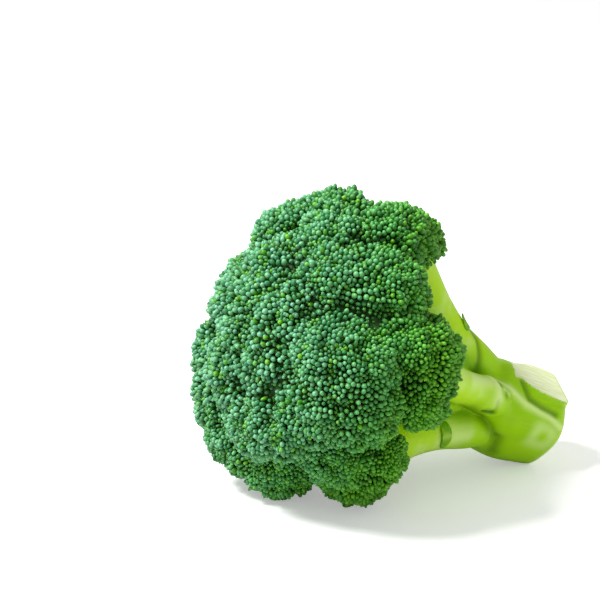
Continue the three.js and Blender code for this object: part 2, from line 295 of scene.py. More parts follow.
RIDGES = 5
RIDGE_RISE = 0.7
LEAF_BEARING = -18  # a knife took a leaf off here, and left a flat face that runs to the cut end
LEAF_RISE = 2.8
LEAF_LEVEL = 7
LEAF_LENGTH = 19.5  # half
LEAF_WIDTH = 33  # half, in degrees
LEAF_FACE = 19.0  # distance of the flat face from the stalk's axis
LEAF_LEAN = 2.3  # degrees that it leans in towards the cut end
LEAF_TOP = 30  # nothing above this height is cut by it
LEAF_EDGE = (0.82, 1.1)  # where the leaf's base starts and ends its fall to the skin, as shares of its size
BELLY_RISE = 2
BELLY_LEVEL = 19
BELLY_WIDTH = 70
CHAMFER = 1.2
STALK_ROWS = 60
STALK_SIDES = 96
SCULPTED_TO = (75, 60)  # heights from which and below which the skin has all of its leaf base and lines

# Lines along the skin, as heights and bearings, with how far they rise, half their width, and how much
# painted
# highlight and painted shade they carry: the ridges and creases between what grows into the branches, with
# the ridges painted paler as if lit and the creases painted darker as if in shade.
SKIN_LINES = [
    ([(26, -37), (21.6, -57), (14.8, -63), (6, -67)], -1.1, 1.7, 0.0, 0.7),
    ([(47, -42), (34.6, -52), (24, -66), (10, -72), (3, -80)], 0.9, 1.9, 1.0, 0.0),
    ([(66, -4), (54.6, -14), (49, -33), (43, -42)], -1.0, 1.4, 0.0, 0.75),
    ([(60, -93), (54, -91), (46, -96), (37, -109), (29, -122)], -1.5, 2.2, 0.0, 0.7),
    ([(46, -90), (40.5, -88)], -2.2, 1.3, 0.0, 1.0),
    ([(43, -75), (41, -84)], -0.7, 1.2, 0.2, 0.25),
    ([(47, -54), (44.5, -62), (43, -72)], 1.4, 3.4, 1.0, 0.0),
    ([(41.5, -53), (40.5, -56)], -0.9, 1.2, 0.0, 0.7),
    ([(37.2, -63), (36.8, -65)], -0.8, 1.1, 0.0, 0.5),
    ([(39.3, -59), (35.2, -62.5)], 0.5, 1.0, 0.8, 0.0),
    ([(28, -127), (24, -150)], -1.3, 3.0, 0.0, 0.6),
    ([(62, -66), (49, -60)], 0.5, 2.6, 0.9, 0.0),
    ([(62, -125), (47, -118)], 0.4, 2.8, 0.7, 0.0),
]
SCAR = (9.0, -99, 7.0)  # height, bearing and half the width of the scar of a leaf that broke off flush
SCAR_DEPTH = 0.8
SCAR_PALE = 0.85
CUT_RIM = 2.2  # height over which the skin turns pale towards the rim of the cut end
CUT_RIM_PALE = 0.8


def stalk_shape():
    """The plain stalk: circles of the stalk's radius from the cut end to its hidden tip, with ridges as
    cosines round it and a belly on its low side as squared cosines."""
    height = np.concatenate([[0, CHAMFER], np.linspace(3, STALK_TOP, STALK_ROWS)])
    bearing = np.linspace(-180, 180, STALK_SIDES, endpoint=False)
    h, b = np.meshgrid(height, bearing, indexing="ij")
    ridge = RIDGE_RISE * np.cos(RIDGES * np.radians(b - LEAF_BEARING))
    below = np.clip((180 - np.abs(b)) / BELLY_WIDTH, 0, 1)
    belly = np.cos(below * math.pi / 2) ** 2 * np.cos(np.clip(h / BELLY_LEVEL - 1, -1, 1) * math.pi / 2) ** 2
    radius = stalk_radius(h) + ridge + BELLY_RISE * belly
    radius[0] -= CHAMFER
    angle = np.radians(b)
    skin = np.stack([radius * np.cos(angle), radius * np.sin(angle), h], axis=-1)
    points = np.concatenate([skin.reshape(-1, 3), [[0, 0, 0], [0, 0, STALK_TOP + 3]]])
    return points, grid_faces(len(height), len(bearing))


def branch_radius(root_radius, share):
    """Even for the first part of a branch, then widening smoothly by the flare towards the floret."""
    return root_radius * (1 + (BRANCH_FLARE - 1) * smoothstep(share, FLARE_START, 1))


def stub_shape(name):
    """The lower part of a branch, which thickens into a collar where it leaves the stalk: a bell of the
    share of its length."""
    root_radius, controls = branch_plan(name)
    share = np.linspace(0, FORK_STUB, 22)
    collar = 1 + COLLAR_RISE * np.exp(-((share - COLLAR_PLACE) / COLLAR_WIDTH) ** 2)
    radius = branch_radius(root_radius, share) * collar
    radius[-len(STUB_END):] *= STUB_END
    return tube(bezier(controls, share), radius, STUB_SIDES)


def off_line(height, bearing, line):
    """Distance along the skin from a line through some heights and bearings: the least of the distances
    to its stretches, with a bearing counted as the arc that it covers on the stalk."""
    corners = np.array([(level, math.radians(turn) * STALK_RADIUS) for level, turn in line])
    places = np.stack([height, np.radians(bearing) * STALK_RADIUS], axis=1)
    least = np.full(len(places), np.inf)
    for start, end in zip(corners[:-1], corners[1:]):
        share = np.clip((places - start) @ (end - start) / np.sum((end - start) ** 2), 0, 1)
        least = np.minimum(least, np.linalg.norm(places - start - share[:, None] * (end - start), axis=1))
    return least


def knife_cut(points, normal, offset, within):
    """Moves what is beyond a plane onto it, where the knife went, and says how flat each point then is."""
    beyond = np.where(within, points @ normal - offset, -1.0)
    return points - np.maximum(beyond, 0)[:, None] * normal, smoothstep(beyond, -0.1, 0.25)


def polar_of(points):
    """Heights and bearings of points, and the unit vectors away from the stalk's axis."""
    height, bearing = points[:, 2], np.degrees(np.arctan2(points[:, 1], points[:, 0]))
    return height, bearing, unit(points * [1, 1, 0] + [1e-9, 0, 0])


def sculpted(points):
    """The stalk's skin with its leaf base, lines and scar, how pale it is, with painted highlights on its
    ridges, how much painted shade it has in its creases, and how cut it is.

    Each feature moves the skin out from the axis by a smooth function of height and bearing: a stump with a
    steep edge for the leaf, a bell of the distance for each line, and a shallow rounded square with a pale
    ring for the scar. The knife's faces come last.
    """
    height, bearing, away = polar_of(points)
    rise, pale, painted_shade = np.zeros(len(points)), np.zeros(len(points)), np.zeros(len(points))
    spread = np.hypot((height - LEAF_LEVEL) / LEAF_LENGTH, (bearing - LEAF_BEARING) / LEAF_WIDTH)
    rise += LEAF_RISE * (1 - smoothstep(spread, *LEAF_EDGE))
    for line, lift, width, line_highlight, line_shade in SKIN_LINES:
        bell = np.exp(-(off_line(height, bearing, line) / width) ** 2)
        rise += lift * bell
        pale = np.maximum(pale, line_highlight * bell)
        painted_shade = np.maximum(painted_shade, line_shade * bell)
    level, side = (height - SCAR[0]) / SCAR[2], np.radians(bearing - SCAR[1]) * STALK_RADIUS / SCAR[2]
    patch = np.exp(-level ** 4 - side ** 4)
    rise -= SCAR_DEPTH * patch
    pale = np.maximum(pale, SCAR_PALE * patch * (1 - np.exp(-4 * (level ** 2 + side ** 2))))
    painted_shade *= 1 - patch
    points = points + away * (rise * smoothstep(height, *SCULPTED_TO))[:, None]
    leaf_way = direction(90 + LEAF_LEAN, LEAF_BEARING)
    points, leaf_face = knife_cut(points, leaf_way, LEAF_FACE, height < LEAF_TOP)
    points, end_face = knife_cut(points, np.array([0.0, 0.0, -1.0]), 0.0, height < 1)
    rim = np.exp(-(height / CUT_RIM) ** 2) * CUT_RIM_PALE
    return points, np.maximum(pale, rim), painted_shade, np.maximum(leaf_face, end_face)


def set_skin(piece, points, pale, painted_shade, cut):
    """What the skin's material reads at each point: its height along the stalk, its bearing in radians and
    its distance from the axis as a share of the stalk's radius, how pale it is with painted highlights, how
    much painted shade it has, and how cut it is."""
    height, bearing, _ = polar_of(points)
    set_values(piece, "height", height)
    set_values(piece, "around", np.radians(bearing))
    set_values(piece, "outward", np.hypot(points[:, 0], points[:, 1]) / STALK_RADIUS)
    for name, values in (("pale", pale), ("painted_shade", painted_shade), ("cut", cut)):
        set_values(piece, name, values)


stalk_points, stalk_faces = many([stalk_shape()] + [stub_shape(name) for name in FLORETS])
stalk = grown_together(new_piece("stalk_skin", in_row(stalk_points), stalk_faces), voxel=0.8, rounds=8)
points, pale, painted_shade, cut = sculpted(points_of(stalk))
move_points(stalk, points)
set_skin(stalk, points, pale, painted_shade, cut)


def shader(name, roughness):
    """A new material, its nodes and links, and its Principled BSDF."""
    material = bpy.data.materials.new(name)
    material.use_nodes = True
    nodes, links = material.node_tree.nodes, material.node_tree.links
    skin = nodes["Principled BSDF"]
    skin.inputs["Roughness"].default_value = roughness
    return material, nodes, links, skin


def feed(links, socket, value):
    """Sets a socket to a value, or links it to the output that gives one."""
    if isinstance(value, (int, float, tuple)):
        socket.default_value = value
    else:
        links.new(value, socket)


def attribute_node(nodes, name):
    """A value that a piece carries at its points."""
    node = nodes.new("ShaderNodeAttribute")
    node.attribute_name = name
    return node.outputs["Fac"]


def mix_colour(nodes, links, share, low, high):
    """Mixes two colours, or the outputs that give them, by a share. The node has a set of sockets for each
    kind of value: its factor is the first, and its two colours are the seventh and the eighth."""
    node = nodes.new("ShaderNodeMix")
    node.data_type = "RGBA"
    for place, value in ((0, share), (6, low), (7, high)):
        feed(links, node.inputs[place], value)
    return node.outputs[2]


def noise_node(nodes, links, scale, detail, place):
    """Noise at a scale, read at a place."""
    node = nodes.new("ShaderNodeTexNoise")
    for name, value in (("Scale", scale), ("Detail", detail), ("Vector", place)):
        feed(links, node.inputs[name], value)
    return node.outputs["Fac"]


def ramp_node(nodes, links, value, low, high):
    """A value stretched so that low becomes 0 and high becomes 1."""
    node = nodes.new("ShaderNodeMapRange")
    node.interpolation_type = "SMOOTHSTEP"
    for name, given in (("Value", value), ("From Min", low), ("From Max", high)):
        feed(links, node.inputs[name], given)
    return node.outputs["Result"]


def times(nodes, links, first, second):
    """The product of two values."""
    node = nodes.new("ShaderNodeMath")
    node.operation = "MULTIPLY"
    for socket, value in zip(node.inputs, (first, second)):
        feed(links, socket, value)
    return node.outputs["Value"]


def mottle_group():
    """The soft patches of all the skins, as a mask: noise over the piece, stretched so that Low becomes 0
    and High becomes 1."""
    group = bpy.data.node_groups.new("mottle", "ShaderNodeTree")
    for name in ("Scale", "Detail", "Low", "High"):
        group.interface.new_socket(name, in_out="INPUT", socket_type="NodeSocketFloat")
    group.interface.new_socket("Patches", in_out="OUTPUT", socket_type="NodeSocketFloat")
    nodes, links = group.nodes, group.links
    given = nodes.new("NodeGroupInput").outputs
    place = nodes.new("ShaderNodeTexCoord").outputs["Object"]
    noise = noise_node(nodes, links, given["Scale"], given["Detail"], place)
    patches = ramp_node(nodes, links, noise, given["Low"], given["High"])
    links.new(patches, nodes.new("NodeGroupOutput").inputs["Patches"])
    return group


mottle = mottle_group()


def mottled(nodes, scale, detail, low, high):
    """The mottle in a material, with its own values."""
    node = nodes.new("ShaderNodeGroup")
    node.node_tree = mottle
    for name, value in (("Scale", scale), ("Detail", detail), ("Low", low), ("High", high)):
        node.inputs[name].default_value = value
    return node.outputs["Patches"]


SHADED_SKIN = (0.30, 0.60, 0.0, 1)
SUNLIT_SKIN = (0.40, 0.74, 0.0, 1)
BRANCH_SKIN = (0.46, 0.77, 0.005, 1)
PAINTED_HIGHLIGHT_PATCH = (0.70, 0.90, 0.32, 1)
SKIN_FIBRE = (0.46, 0.78, 0.0, 1)
PALE_MARK_AND_HIGHLIGHT = (0.66, 0.88, 0.26, 1)
PAINTED_CREASE_SHADE = (0.075, 0.20, 0.002, 1)
FLESH = (0.66, 0.76, 0.34, 1)
FLESH_FIBRE = (0.86, 0.90, 0.66, 1)
PITH = (0.52, 0.70, 0.22, 1)
WOOD = (0.88, 0.92, 0.62, 1)
FIBRES_ROUND = 9.0  # how fast the fibres' noise runs per radian round the stalk
FIBRES_ALONG = 0.045  # and per millimetre along it
BRANCH_COLOUR = (40, 62)  # heights between which the skin turns from the stalk's colour to the branches'


def stalk_material():
    """Yellow-green waxy skin with fine fibres along it, lighter green on the branches, with painted
    highlights on its ridges and in patches on the branches, and painted shade in its creases. Where it is cut
    it shows pale flesh, with a ring of wood round the pith on the cut end."""
    material, nodes, links, skin = shader("stalk skin", 0.34)
    height, around = attribute_node(nodes, "height"), attribute_node(nodes, "around")
    place = nodes.new("ShaderNodeCombineXYZ")
    links.new(times(nodes, links, around, FIBRES_ROUND), place.inputs["X"])
    links.new(times(nodes, links, height, FIBRES_ALONG), place.inputs["Y"])
    fibre = ramp_node(nodes, links, noise_node(nodes, links, 2.2, 4.0, place.outputs["Vector"]), 0.32, 0.72)
    colour = mix_colour(nodes, links, mottled(nodes, 45, 2.0, 0.35, 0.68), SHADED_SKIN, SUNLIT_SKIN)
    branch = ramp_node(nodes, links, height, *BRANCH_COLOUR)
    colour = mix_colour(nodes, links, branch, colour, BRANCH_SKIN)
    # Random pale patches on the branches are painted highlights.
    highlight_patches = times(nodes, links, mottled(nodes, 70, 2.0, 0.48, 0.72), times(nodes, links, branch, 0.5))
    colour = mix_colour(nodes, links, highlight_patches, colour, PAINTED_HIGHLIGHT_PATCH)
    colour = mix_colour(nodes, links, times(nodes, links, fibre, 0.2), colour, SKIN_FIBRE)
    # Painted highlights on the ridges and knuckles, with the pale ring of the scar and the pale rim of the
    # cut end.
    colour = mix_colour(nodes, links, attribute_node(nodes, "pale"), colour, PALE_MARK_AND_HIGHLIGHT)
    # Painted shade in the creases.
    colour = mix_colour(nodes, links, attribute_node(nodes, "painted_shade"), colour, PAINTED_CREASE_SHADE)
    flesh = mix_colour(nodes, links, fibre, FLESH, FLESH_FIBRE)
    outward = attribute_node(nodes, "outward")
    wood = times(nodes, links, ramp_node(nodes, links, outward, 0.66, 0.74),
                 ramp_node(nodes, links, outward, 0.88, 0.80))
    cut_end = times(nodes, links, ramp_node(nodes, links, height, 1.5, 0.5), 0.8)
    flesh = mix_colour(nodes, links, cut_end, flesh, mix_colour(nodes, links, wood, PITH, WOOD))
    colour = mix_colour(nodes, links, attribute_node(nodes, "cut"), colour, flesh)
    links.new(colour, skin.inputs["Base Color"])
    skin.inputs["Specular IOR Level"].default_value = 0.16
    skin.inputs["Subsurface Weight"].default_value = 0.08
    skin.inputs["Subsurface Radius"].default_value = (0.5, 1.0, 0.2)
    skin.inputs["Subsurface Scale"].default_value = 0.003
    bump = nodes.new("ShaderNodeBump")
    bump.inputs["Strength"].default_value = 0.06
    bump.inputs["Distance"].default_value = 0.0006
    links.new(fibre, bump.inputs["Height"])
    links.new(bump.outputs["Normal"], skin.inputs["Normal"])
    return material


stalk.data.materials.append(stalk_material())
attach(stalk, "root")
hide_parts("stalk")

# ------------------------------------------------------------------------------------------- the branches
# Each branch runs on from its stub, forks into a stem for each lobe of its floret, and fans out below the
# buds into thin stems. It is one piece, grown together at the forks.

BRANCH_END = 0.86  # share of its length where the branch itself ends, inside the stems of its lobes
STEMS_FROM = 0.66  # where the stems of its lobes leave it
STEMS_TOWARDS = 0.8  # and the place on it that they first head for
STEM_SHARE = 0.34  # a stem's radius, as a share of its lobe's
THINNEST_STEM = 3.2
STEM_DEPTH = 0.35  # a stem ends this share of the lobe's radius below the lobe's middle
TWIGS = 14  # thin stems that fan out under a lobe
TWIG_RADIUS = 1.5
TWIG_SPREAD = 70  # degrees from the way the lobe faces
TWIG_DEPTH = 5  # they end this far under the lobe's surface
TWIG_START = 0.2  # and start this share of the lobe's radius below the end of its stem
GOLDEN = math.pi * (3 - math.sqrt(5))  # the turn from one point of an even spiral to the next


def ways_about(out, level, flat, turn):
    """Directions with a part along one direction and a part flat to it, which is turned about it: the cosine
    and the sine of the turn go with two directions square to it and to each other."""
    across = unit(np.cross(out, [0.3, 0.5, 0.81]))
    other = np.cross(out, across)
    return (level[..., None] * out + (flat * np.cos(turn))[..., None] * across
            + (flat * np.sin(turn))[..., None] * other)


def twigs_of(out, centre, radius, start):
    """Thin stems from where a lobe's stem ends to points spread evenly over a cone under its buds."""
    tilt = np.radians(TWIG_SPREAD) * np.sqrt((np.arange(TWIGS) + 0.5) / TWIGS)
    ways = ways_about(out, np.cos(tilt), np.sin(tilt), np.arange(TWIGS) * GOLDEN)
    tips = centre + ways * (radius - TWIG_DEPTH)
    share = np.linspace(0, 1, 7)
    shapes = []
    for tip, way in zip(tips, ways):
        rise = np.linalg.norm(tip - start) / 3
        line = bezier(np.array([start, start + out * rise, tip - way * rise, tip]), share)
        shapes.append(tube(line, TWIG_RADIUS * (1.25 - 0.4 * share), 6))
    return shapes


def branch_shape(name):
    """A branch from the end of its stub to its floret, a stem to each lobe, and the stems under the buds."""
    root_radius, controls = branch_plan(name)
    share = np.linspace(FORK_STUB - 0.1, BRANCH_END, 12)
    shapes = [tube(bezier(controls, share), branch_radius(root_radius, share) * 0.99, STUB_SIDES)]
    before, fork = bezier(controls, [STEMS_FROM, STEMS_TOWARDS])
    for out, centre, radius in zip(*lobes[name]):
        start = centre - out * radius * STEM_DEPTH
        rise = np.linalg.norm(start - before) / 3
        line = bezier(np.array([before, before + unit(fork - before) * rise, start - out * rise, start]),
                      np.linspace(0, 1, 10))
        stem = max(THINNEST_STEM, radius * STEM_SHARE)
        shapes.append(tube(line, np.linspace(stem * 0.9, stem * 1.15, 10), 14))
        shapes += twigs_of(out, centre, radius, start - out * radius * TWIG_START)
    return shapes


for name in FLORETS:
    branch_points, branch_faces = many(branch_shape(name))
    branch = new_piece(f"branch_{name}_skin", in_row(branch_points), branch_faces)
    branch = grown_together(branch, voxel=0.9, rounds=5)
    none = np.zeros(len(branch.data.vertices))
    set_skin(branch, points_of(branch), pale=none, painted_shade=none, cut=none)
    branch.data.materials.append(stalk.data.materials[0])
    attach(branch, "root")
    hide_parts(f"branch_{name}")

# -------------------------------------------------------------------------------------------- the florets
# Each floret is some hundreds of flower buds on the ends of its stems, packed into lobes that run into each
# other. Buds are small ovals with a waxy bloom, blue-green where they are open to the light, and
# yellow-green where they are young, along the rim and down in the creases.

LARGEST_BUD = 2.5
SMALLEST_BUD = 1.95
LOBE_BLEND = 5.0  # how softly the lobes run together
NEXT_FLORET = 0.62  # how much of that goes on from one floret to the next
APART = {"lower_front": 0.15, "bottom_front": 0.15}  # florets with a deep crease round them
CLUMP = 11.0  # buds grow in small clumps, this far apart
CLUMP_RISE = 3.3
CLUMP_SHIFT = 0.9  # how unevenly the clumps lie
UNDER = 112  # buds go this many degrees round a lobe from the way it faces
PACKING = 0.866  # room that a bud takes among six neighbours, over the square of the distance to them
OVERFILL = 1.8  # buds are counted for a lobe larger by this, so that they leave no gap
SCATTER = 0.2  # how far a bud strays from the spiral, as a share of the distance between buds
UNEVEN = 0.38  # how far it stands out of the even surface
LEAN = 0.24
SHARED_EDGE = (3.5, 2.0)  # how far past its border a floret keeps buds, before and after they are evened out
CORE_DEPTH = 6.6  # of the inside, below the surface of the buds
CORE_NECK = 100  # degrees round a lobe from where its inside draws in
all_centres = np.concatenate([lobes[name][1] for name in FLORETS])
all_radii = np.concatenate([lobes[name][2] for name in FLORETS])
owner = np.concatenate([[name] * len(lobes[name][2]) for name in FLORETS])
joined = np.array([APART.get(name, NEXT_FLORET) for name in owner])


def lattice(count, out, twist):
    """Directions spread evenly over a sphere in a spiral that starts at one direction, which is what the
    golden angle gives, turned about that direction by a twist."""
    step = np.arange(count) + 0.5
    level = 1 - 2 * step / count
    return ways_about(out, level, np.sqrt(1 - level ** 2), step * GOLDEN + twist)


def pull_of(name, points):
    """How much each lobe shapes a floret at some points: exponentials of minus the distance to it, less
    for another floret's lobes. Also gives the distances."""
    away = np.linalg.norm(points[:, None] - all_centres, axis=2) - all_radii
    share = np.where(owner == name, 1.0, np.minimum(joined, APART.get(name, NEXT_FLORET)))
    return share * np.exp(-away / LOBE_BLEND), away


def floret_gap(name, points):
    """How far points are outside a floret: the distances to its lobes, run together by a smooth minimum,
    which is minus the logarithm of the sum of the pulls."""
    return -LOBE_BLEND * np.log(pull_of(name, points)[0].sum(axis=1))


def onto_floret(name, centre, ways, start):
    """Points where rays from a lobe's centre leave the floret, found by stepping on by what is missing."""
    reach = np.full(len(ways), float(start))
    for _ in range(8):
        reach -= 0.8 * floret_gap(name, centre + ways * reach[:, None])
    return centre + ways * reach[:, None]


def outward_at(name, points):
    """The direction in which the distance to the floret grows: the directions from its lobes' centres,
    weighted by their pulls."""
    pull, _ = pull_of(name, points)
    ways = unit(points[:, None] - all_centres)
    return unit(np.einsum("pl,pld->pd", pull, ways))


def spread_out(name, points, spacing):
    """Evens out points on a floret: each is pushed from its nearest neighbours by part of what is missing to
    the spacing, and then put back onto the surface along its slope. The neighbours are found four times."""
    for _ in range(4):
        square = np.sum(points ** 2, axis=1)
        apart = square[:, None] + square - 2 * points @ points.T
        near = np.argpartition(apart, 9, axis=1)[:, :9]
        for _ in range(3):
            away = points[:, None] - points[near]
            far = np.linalg.norm(away, axis=2)
            push = np.where(far > 1e-6, np.maximum(spacing - far, 0) / np.maximum(far, 1e-6), 0)
            points = points + 0.42 * np.sum(away * push[..., None], axis=1)
            points = points - floret_gap(name, points)[:, None] * outward_at(name, points)
    return points


def foreign(name, points):
    """How much nearer points are to another floret's lobes than to their own."""
    away = pull_of(name, points)[1]
    return away[:, owner == name].min(axis=1) - away[:, owner != name].min(axis=1)


def bud_size(points):
    """Distance between buds: larger towards the top and the apex, smaller low on the rim."""
    placed = in_row(points) * 1000
    share = smoothstep(placed[..., 2] - 0.5 * placed[..., 0], 20, 130)
    return SMALLEST_BUD + (LARGEST_BUD - SMALLEST_BUD) * share


def bud_sites(name, rng, depth, density):
    """Where the buds of a floret sit, which way they face, and their size and the height of their clump.

    A spiral of directions from each lobe's centre is carried onto the floret, evened out, and raised in
    clumps: a parabola of the distance to the nearest clump's middle. What lies under the floret or in a
    neighbouring floret is left out.
    """
    sites, middles = [], []
    _, centres, radii = lobes[name]
    size = float(np.mean(bud_size(centres))) * density
    for out, centre, radius in zip(*lobes[name]):
        count = max(6, round(4 * math.pi * radius ** 2 / (PACKING * CLUMP ** 2)))
        middles.append(onto_floret(name, centre, lattice(count, out, rng.uniform(0, 6)), radius))
        count = round(4 * math.pi * (radius + OVERFILL) ** 2 / (PACKING * size ** 2))
        direct = lattice(count, out, rng.uniform(0, 6))
        direct = unit(direct + rng.normal(0, SCATTER * size / radius, direct.shape))
        direct = direct[direct @ out > math.cos(math.radians(UNDER))]
        points = onto_floret(name, centre, direct, radius)
        away = np.linalg.norm(points[:, None] - centres, axis=2) - radii
        sites.append(points[away.argmin(axis=1) == len(sites)])
    middles = np.concatenate(middles) + rng.normal(0, CLUMP_SHIFT, (sum(map(len, middles)), 3))
    sites = np.concatenate(sites)
    sites = sites[foreign(name, sites) < SHARED_EDGE[0]]
    sites = spread_out(name, sites, size * 1.1)
    sites = sites[foreign(name, sites) < SHARED_EDGE[1]]
    ways = outward_at(name, sites)
    near = np.linalg.norm(sites[:, None] - middles, axis=2).min(axis=1)
    clumps = 1 - np.clip(near / (CLUMP * 0.6), 0, 1) ** 2
    uneven = rng.normal(0, UNEVEN, len(sites))
    sites = sites + ways * (CLUMP_RISE * (clumps - 1) - depth + uneven)[:, None]
    return sites, ways, size / density * (0.84 + 0.2 * clumps), clumps


def bud_shape(sides, rings):
    """One bud of unit width, standing on its base: an oval of circles whose radius goes with the sine of
    the way up, a little pointed at the tip."""
    way = np.linspace(0, math.pi, rings + 2)[1:-1]
    radius = 0.5 * np.sin(way) ** 0.9
    height = -0.62 * np.cos(way) + 0.06 * (1 - np.cos(way))
    turn = np.linspace(0, 2 * math.pi, sides, endpoint=False)
    skin = np.stack([radius[:, None] * np.cos(turn), radius[:, None] * np.sin(turn),
                     np.repeat(height[:, None], sides, axis=1)], axis=-1)
    return np.concatenate([skin.reshape(-1, 3), [[0, 0, -0.62], [0, 0, 0.76]]]), grid_faces(rings, sides)


def buds(sites, ways, sizes, rng, template):
    """Copies of one bud at all sites: each is scaled, turned onto its way with a small lean, and moved."""
    shape_points, (quads, fans) = template
    count = len(sites)
    ways = unit(ways + rng.normal(0, LEAN, ways.shape))
    across = unit(np.cross(ways, rng.normal(0, 1, ways.shape)))
    other = np.cross(ways, across)
    width = sizes * rng.uniform(0.78, 1.1, count)
    long = sizes * rng.uniform(0.95, 1.25, count)
    points = (sites[:, None] + across[:, None] * (shape_points[:, 0] * width[:, None])[..., None]
              + other[:, None] * (shape_points[:, 1] * width[:, None])[..., None]
              + ways[:, None] * (shape_points[:, 2] * long[:, None])[..., None])
    first = (np.arange(count) * len(shape_points))[:, None, None]
    faces = (quads + first).reshape(-1, 4), (fans + first).reshape(-1, 3)
    return points.reshape(-1, 3), faces


def core_shape(name, row):
    """What is under the buds of one lobe: a closed skin some buds' depth inside the floret, drawn in by up
    to half below the neck."""
    out, centre, radius = (part[row] for part in lobes[name])
    polar = np.linspace(0, math.pi, 22)[1:-1]
    turn = np.linspace(0, 2 * math.pi, 36, endpoint=False)
    p, t = np.meshgrid(polar, turn, indexing="ij")
    ways = ways_about(out, np.cos(p), np.sin(p), t)
    points = onto_floret(name, centre, ways.reshape(-1, 3), radius)
    drawn = 1 - 0.5 * smoothstep(np.degrees(p.ravel()), CORE_NECK, 180)
    sunk = 1 - min(CORE_DEPTH / radius, 0.5)
    points = centre + (points - centre) * (drawn * sunk)[:, None]
    ends = np.array([centre + out * radius * sunk, centre - out * radius * 0.4])
    return np.concatenate([points, ends]), grid_faces(len(polar), len(turn))


bud_template = bud_shape(7, 4)
young_template = bud_shape(6, 3)

# Two layers of buds: the depth of each, its distance between buds and the buds' size, as shares, its bud,
# and how much younger and so yellower its buds are.
LAYERS = (
    (1.7, 1.0, 1.0, bud_template, 0),
    (3.0, 0.95, 0.8, young_template, 0.35),
)

# Colours of the buds: each pair runs from the darkest bud to the lightest.
DULL = (0.014, 0.14, 0.014, 1), (0.085, 0.37, 0.055, 1)
BLOOM = (0.017, 0.155, 0.055, 1), (0.17, 0.45, 0.27, 1)
YOUNG = (0.035, 0.21, 0.003, 1), (0.13, 0.40, 0.012, 1)
FOOT = (0.022, 0.110, 0.001, 1), (0.04, 0.19, 0.001, 1)  # from a ripe bud's to a young one's
SHADOW = (0.012, 0.085, 0.002, 1)
# The floret's inside, painted very dark as the shade between the buds.
INSIDE_IN_PAINTED_SHADE = (0.006, 0.045, 0.001, 1), (0.02, 0.10, 0.002, 1)


def bud_material():
    """Dark green at the foot and paler to the tip, where a bud has a blue-green bloom, unless it is young
    and yellow-green."""
    material, nodes, links, skin = shader("bud skin", 0.4)
    along = attribute_node(nodes, "along")
    tone = attribute_node(nodes, "tone")
    young = attribute_node(nodes, "young")
    dull = mix_colour(nodes, links, tone, *DULL)
    bloom = mix_colour(nodes, links, tone, *BLOOM)
    ripe = mix_colour(nodes, links, attribute_node(nodes, "bloom"), dull, bloom)
    tip = mix_colour(nodes, links, young, ripe, mix_colour(nodes, links, tone, *YOUNG))
    colour = mix_colour(nodes, links, along, mix_colour(nodes, links, young, *FOOT), tip)
    colour = mix_colour(nodes, links, attribute_node(nodes, "deep"), colour, SHADOW)
    links.new(colour, skin.inputs["Base Color"])
    skin.inputs["Specular IOR Level"].default_value = 0.3
    return material


def core_material():
    """The floret's inside where it shows between buds, in painted shade, finely mottled like the stems that
    it stands for.
    """
    material, nodes, links, skin = shader("floret inside in painted shade", 0.7)
    colour = mix_colour(nodes, links, mottled(nodes, 700, 3.0, 0.35, 0.65), *INSIDE_IN_PAINTED_SHADE)
    links.new(colour, skin.inputs["Base Color"])
    return material


bud_skin = bud_material()
inside = core_material()

# What the buds' material reads: along is the way up a bud, tone is its own shade, young is how yellow-green
# it is, bloom is how much of the blue-green wax it has, and deep is how far down between the clumps it sits.
for index, name in enumerate(FLORETS):
    rng = np.random.default_rng(200 + index)
    parts, values = [], {"along": [], "tone": [], "young": [], "bloom": [], "deep": []}
    for depth, density, share, template, younger in LAYERS:
        sites, ways, sizes, clumps = bud_sites(name, rng, depth, density)
        parts.append(buds(sites, ways, sizes * share, rng, template))
        corners = len(template[0])
        height = np.tile(template[0][:, 2], len(sites))
        values["along"].append(smoothstep(height, -0.35, 0.6))
        values["tone"].append(np.repeat(rng.uniform(0, 1, len(sites)), corners))
        rim = smoothstep(sites[:, 2], CROWN_LEVEL + 10, CROWN_LEVEL - 22)
        deep = 1 - smoothstep(clumps, 0.15, 0.65)
        late = rng.uniform(0, 1, len(sites)) < 0.05 + 0.2 * deep
        young = 0.9 * rim + 0.75 * late + rng.normal(0.05, 0.15, len(sites)) + younger
        values["young"].append(np.repeat(np.clip(young, 0, 1), corners))
        bloom = smoothstep(sites[:, 2], CROWN_LEVEL - 5, CROWN_LEVEL + 50)
        values["bloom"].append(np.repeat(bloom, corners))
        values["deep"].append(np.repeat(0.55 * deep * (young < 0.6) + 0.1 * deep, corners))
    floret_points, floret_faces = many(parts)
    floret = new_piece(f"floret_{name}_buds", in_row(floret_points), floret_faces)
    for value_name, arrays in values.items():
        set_values(floret, value_name, np.concatenate(arrays))
    floret.data.materials.append(bud_skin)
    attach(floret, "root")
    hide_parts(f"floret_{name}")
    core_points, core_faces = many([core_shape(name, row) for row in range(len(lobes[name][2]))])
    core = new_piece(f"floret_{name}_inside", in_row(core_points), core_faces)
    core.data.materials.append(inside)
    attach(core, "root")

# --------------------------------------------------------------------------------------------- the bracts
# Small leaves like scales, thin and fleshy, that grow on the branches. Each hugs its branch at its foot and
# lifts away to a blunt tip, with a paler vein up its middle.

# The branch of each, how far up it as a share, how far round it in degrees, the leaf's length and width, and
# how much it tapers.
BRACTS = {
    "lower": ("bottom_front", 0.36, 55, 7, 14, 0.3),
    "upper": ("upper_rim", 0.38, -15, 9, 8, 0.7),
    "back": ("middle_back", 0.35, 0, 13, 10, 0.8),
}
BRACT_THICKNESS = 0.7
BRACT_LIFT = 1.0  # of its tip off the branch
BRACT_ROWS = 18
BRACT_ACROSS = 15
VEIN_WIDTH = 0.16  # as a share of half the leaf's width
BRACT_SHADE = (0.09, 0.32, 0.0, 1), (0.24, 0.50, 0.0, 1)
BRACT_VEIN = (0.36, 0.60, 0.05, 1)


